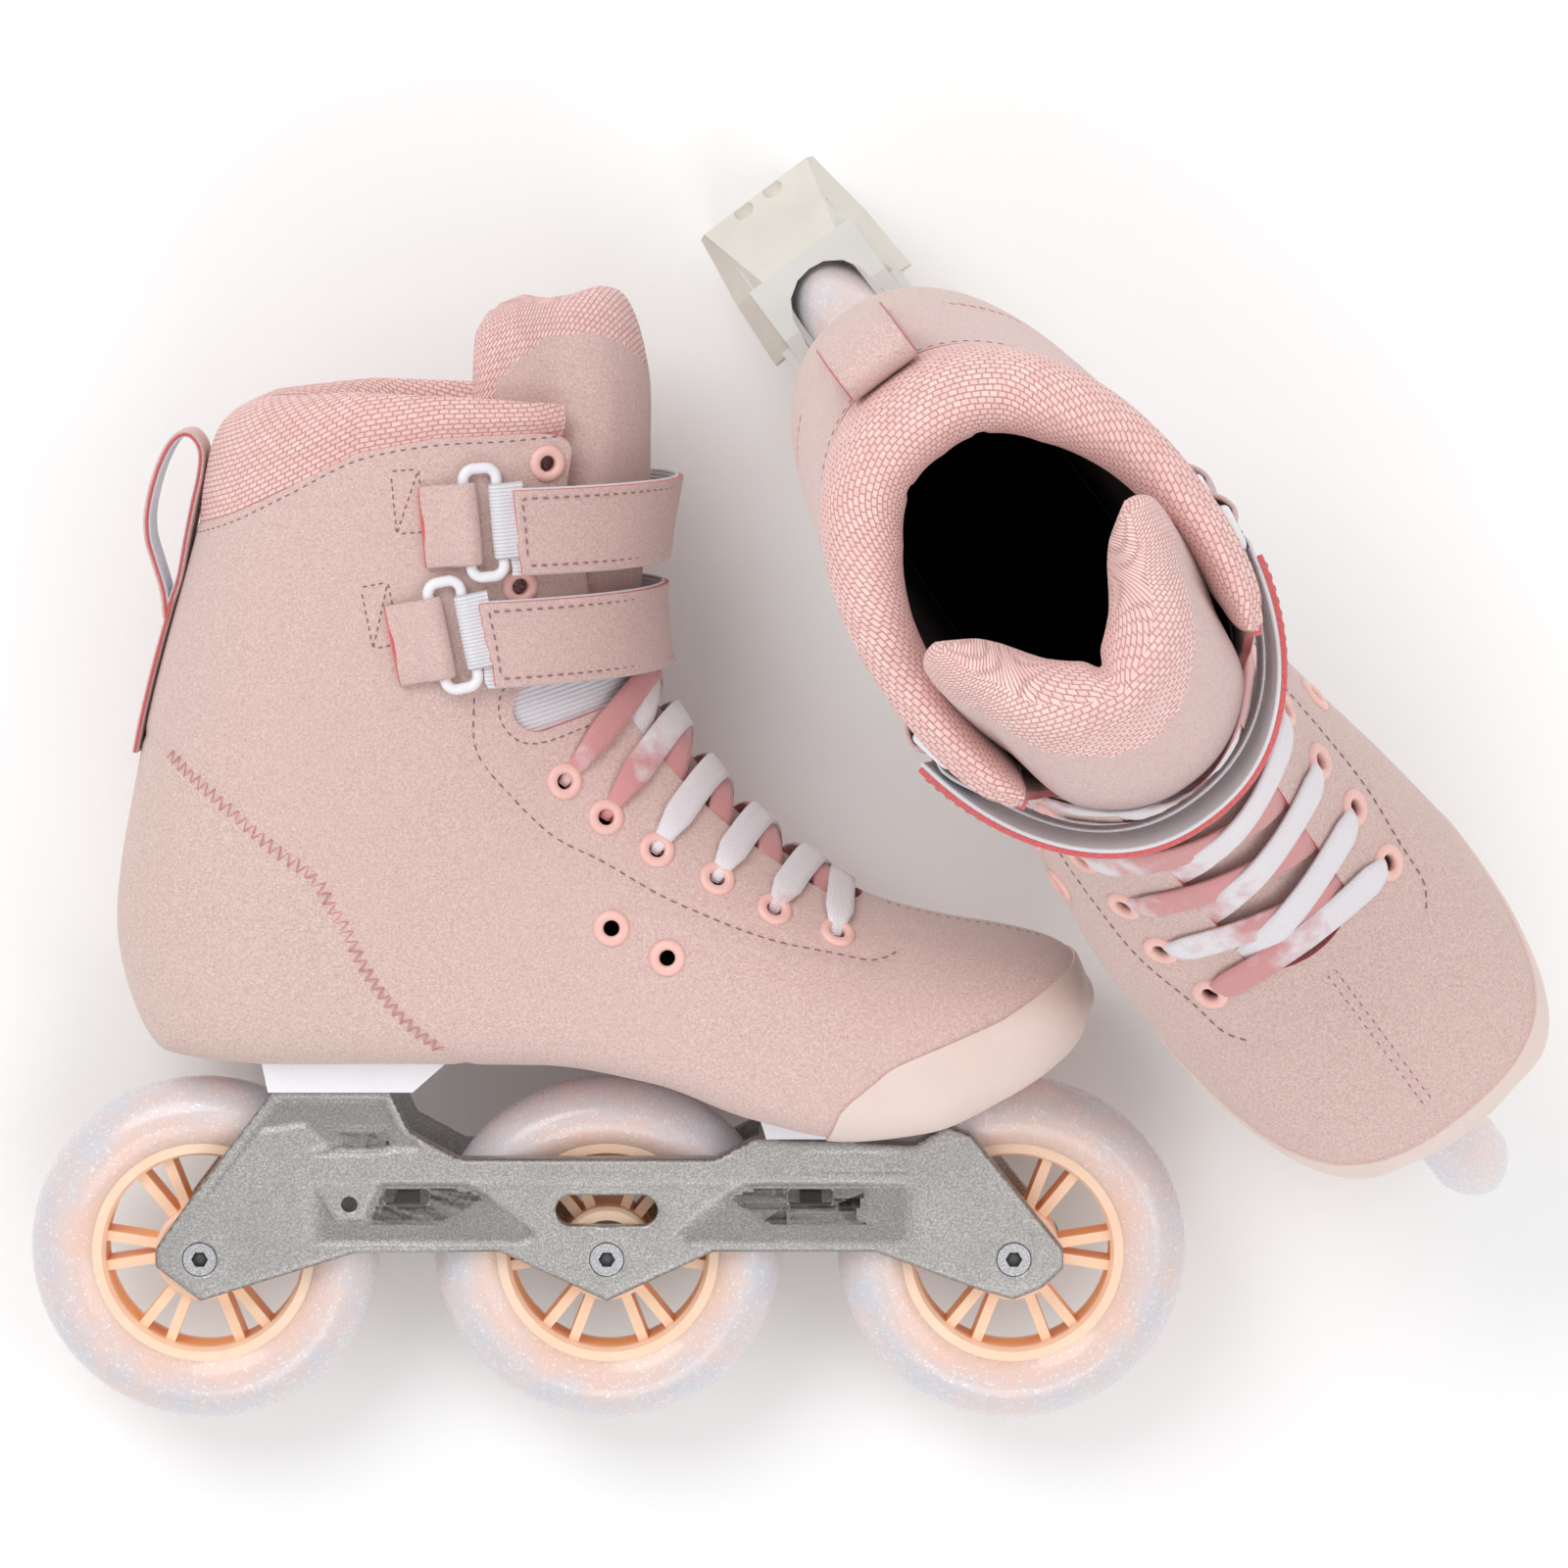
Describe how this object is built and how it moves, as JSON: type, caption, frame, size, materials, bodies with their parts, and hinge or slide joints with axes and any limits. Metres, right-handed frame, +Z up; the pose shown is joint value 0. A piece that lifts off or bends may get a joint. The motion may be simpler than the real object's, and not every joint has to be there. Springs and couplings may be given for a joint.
{
  "type": "inline skates",
  "caption": "Pair of inline skates with suede boots, three large wheels in a cast frame on each, laces, hook-and-loop straps and a heel brake on the right one.",
  "frame": {"origin": "bottom centre of the pair's bounding box, on the floor", "axes": "+Z up from the floor; +X along the lying left skate, heel to toe; +Y from its wheels towards its cuff"},
  "size_m": [0.4668, 0.4, 0.3611],
  "materials": {
    "frame": "cast, silver-grey metallic coat",
    "steel": "plated steel",
    "bearing": "ground steel",
    "sole_plastic": "white moulded",
    "suede": "pale pink suede",
    "mesh": "pink knitted mesh over foam",
    "tongue": "suede front on knitted mesh padding",
    "insole": "dark felt foot bed",
    "toe_rubber": "smooth pale rubber",
    "eyelet": "pink enamelled ring",
    "loop": "webbing with suede face",
    "lace": "flat woven lace, white to pink",
    "ring": "white moulded",
    "tab": "folded suede, red cut edge",
    "tyre": "translucent pearl polyurethane with fine glitter",
    "hub": "moulded peach nylon",
    "strap": "suede on white hook and loop webbing",
    "brake_plastic": "off-white moulded",
    "brake_rubber": "cream non-marking rubber"
  },
  "bodies": {
    "left_skate": {"left_frame": "frame", "left_axles": "steel", "left_bearing_cores": "bearing", "left_frame_bolts": "steel", "left_sole_plate": "sole_plastic", "left_boot_upper": "suede", "left_liner": "mesh", "left_tongue": "tongue", "left_insole": "insole", "left_toe_cap": "toe_rubber", "left_eyelets": "eyelet", "left_pull_loop": "loop", "left_lace": "lace", "left_lateral_rings": "ring", "left_ring_tabs": "tab"},
    "left_rear_wheel": {"left_rear_tyre": "tyre", "left_rear_hub": "hub", "left_rear_bearings": "bearing"},
    "left_mid_wheel": {"left_mid_tyre": "tyre", "left_mid_hub": "hub", "left_mid_bearings": "bearing"},
    "left_front_wheel": {"left_front_tyre": "tyre", "left_front_hub": "hub", "left_front_bearings": "bearing"},
    "left_upper_ring": {"left_ring_upper": "ring"},
    "left_upper_strap": {"left_strap_upper": "strap"},
    "left_lower_ring": {"left_ring_lower": "ring"},
    "left_lower_strap": {"left_strap_lower": "strap"},
    "right_skate": {"right_frame": "frame", "right_axles": "steel", "right_bearing_cores": "bearing", "right_frame_bolts": "steel", "right_sole_plate": "sole_plastic", "right_boot_upper": "suede", "right_liner": "mesh", "right_tongue": "tongue", "right_insole": "insole", "right_toe_cap": "toe_rubber", "right_eyelets": "eyelet", "right_pull_loop": "loop", "right_lace": "lace", "right_lateral_rings": "ring", "right_ring_tabs": "tab", "right_brake_holder": "brake_plastic", "right_brake_pad": "brake_rubber", "right_brake_screws": "steel"},
    "right_rear_wheel": {"right_rear_tyre": "tyre", "right_rear_hub": "hub", "right_rear_bearings": "bearing"},
    "right_mid_wheel": {"right_mid_tyre": "tyre", "right_mid_hub": "hub", "right_mid_bearings": "bearing"},
    "right_front_wheel": {"right_front_tyre": "tyre", "right_front_hub": "hub", "right_front_bearings": "bearing"},
    "right_upper_ring": {"right_ring_upper": "ring"},
    "right_upper_strap": {"right_strap_upper": "strap"},
    "right_lower_ring": {"right_ring_lower": "ring"},
    "right_lower_strap": {"right_strap_lower": "strap"}
  },
  "joints": [
    {"name": "left_rear_wheel_spin", "type": "hinge", "parent": "left_skate", "child": "left_rear_wheel", "pos_m": [-0.17841, -0.14543, 0.0449], "axis": [0, 0.1305, -0.9914], "continuous": true},
    {"name": "left_mid_wheel_spin", "type": "hinge", "parent": "left_skate", "child": "left_mid_wheel", "pos_m": [-0.05091, -0.14543, 0.0449], "axis": [0, 0.1305, -0.9914], "continuous": true},
    {"name": "left_front_wheel_spin", "type": "hinge", "parent": "left_skate", "child": "left_front_wheel", "pos_m": [0.07659, -0.14543, 0.0449], "axis": [0, 0.1305, -0.9914], "continuous": true},
    {"name": "left_upper_ring_swing", "type": "hinge", "parent": "left_skate", "child": "left_upper_ring", "pos_m": [-0.09081, 0.0793, 0.12582], "axis": [0.0872, -0.9877, -0.13], "range_deg": [0, 20]},
    {"name": "left_upper_strap_open", "type": "hinge", "parent": "left_upper_ring", "child": "left_upper_strap", "pos_m": [-0.08102, 0.08039, 0.12414], "axis": [0.0872, -0.9877, -0.13], "range_deg": [0, 60]},
    {"name": "left_lower_ring_swing", "type": "hinge", "parent": "left_skate", "child": "left_lower_ring", "pos_m": [-0.10028, 0.04504, 0.12165], "axis": [0.1908, -0.9732, -0.1281], "range_deg": [0, 20]},
    {"name": "left_lower_strap_open", "type": "hinge", "parent": "left_lower_ring", "child": "left_lower_strap", "pos_m": [-0.09055, 0.04709, 0.12054], "axis": [0.1908, -0.9732, -0.1281], "range_deg": [0, 60]},
    {"name": "right_rear_wheel_spin", "type": "hinge", "parent": "right_skate", "child": "right_rear_wheel", "pos_m": [0.04275, 0.12269, 0.0549], "axis": [0.8005, 0.5956, 0.0663], "continuous": true},
    {"name": "right_mid_wheel_spin", "type": "hinge", "parent": "right_skate", "child": "right_mid_wheel", "pos_m": [0.11886, 0.02039, 0.0549], "axis": [0.8005, 0.5956, 0.0663], "continuous": true},
    {"name": "right_front_wheel_spin", "type": "hinge", "parent": "right_skate", "child": "right_front_wheel", "pos_m": [0.19497, -0.0819, 0.0549], "axis": [0.8005, 0.5956, 0.0663], "continuous": true},
    {"name": "right_upper_ring_swing", "type": "hinge", "parent": "right_skate", "child": "right_upper_ring", "pos_m": [0.12338, 0.07348, 0.29113], "axis": [-0.105, 0.0305, 0.994], "range_deg": [0, 20]},
    {"name": "right_upper_strap_open", "type": "hinge", "parent": "right_upper_ring", "child": "right_upper_strap", "pos_m": [0.12773, 0.06451, 0.29186], "axis": [-0.105, 0.0305, 0.994], "range_deg": [0, 60]},
    {"name": "right_lower_ring_swing", "type": "hinge", "parent": "right_skate", "child": "right_lower_ring", "pos_m": [0.11984, 0.08264, 0.25671], "axis": [-0.1661, 0.1143, 0.9795], "range_deg": [0, 20]},
    {"name": "right_lower_strap_open", "type": "hinge", "parent": "right_lower_ring", "child": "right_lower_strap", "pos_m": [0.12444, 0.07395, 0.25851], "axis": [-0.1661, 0.1143, 0.9795], "range_deg": [0, 60]},
    {"name": "right_skate_lift", "type": "slide", "parent": "left_skate", "child": "right_skate", "axis": [0, 0, 1], "range_m": [0, 0.15]}
  ]
}
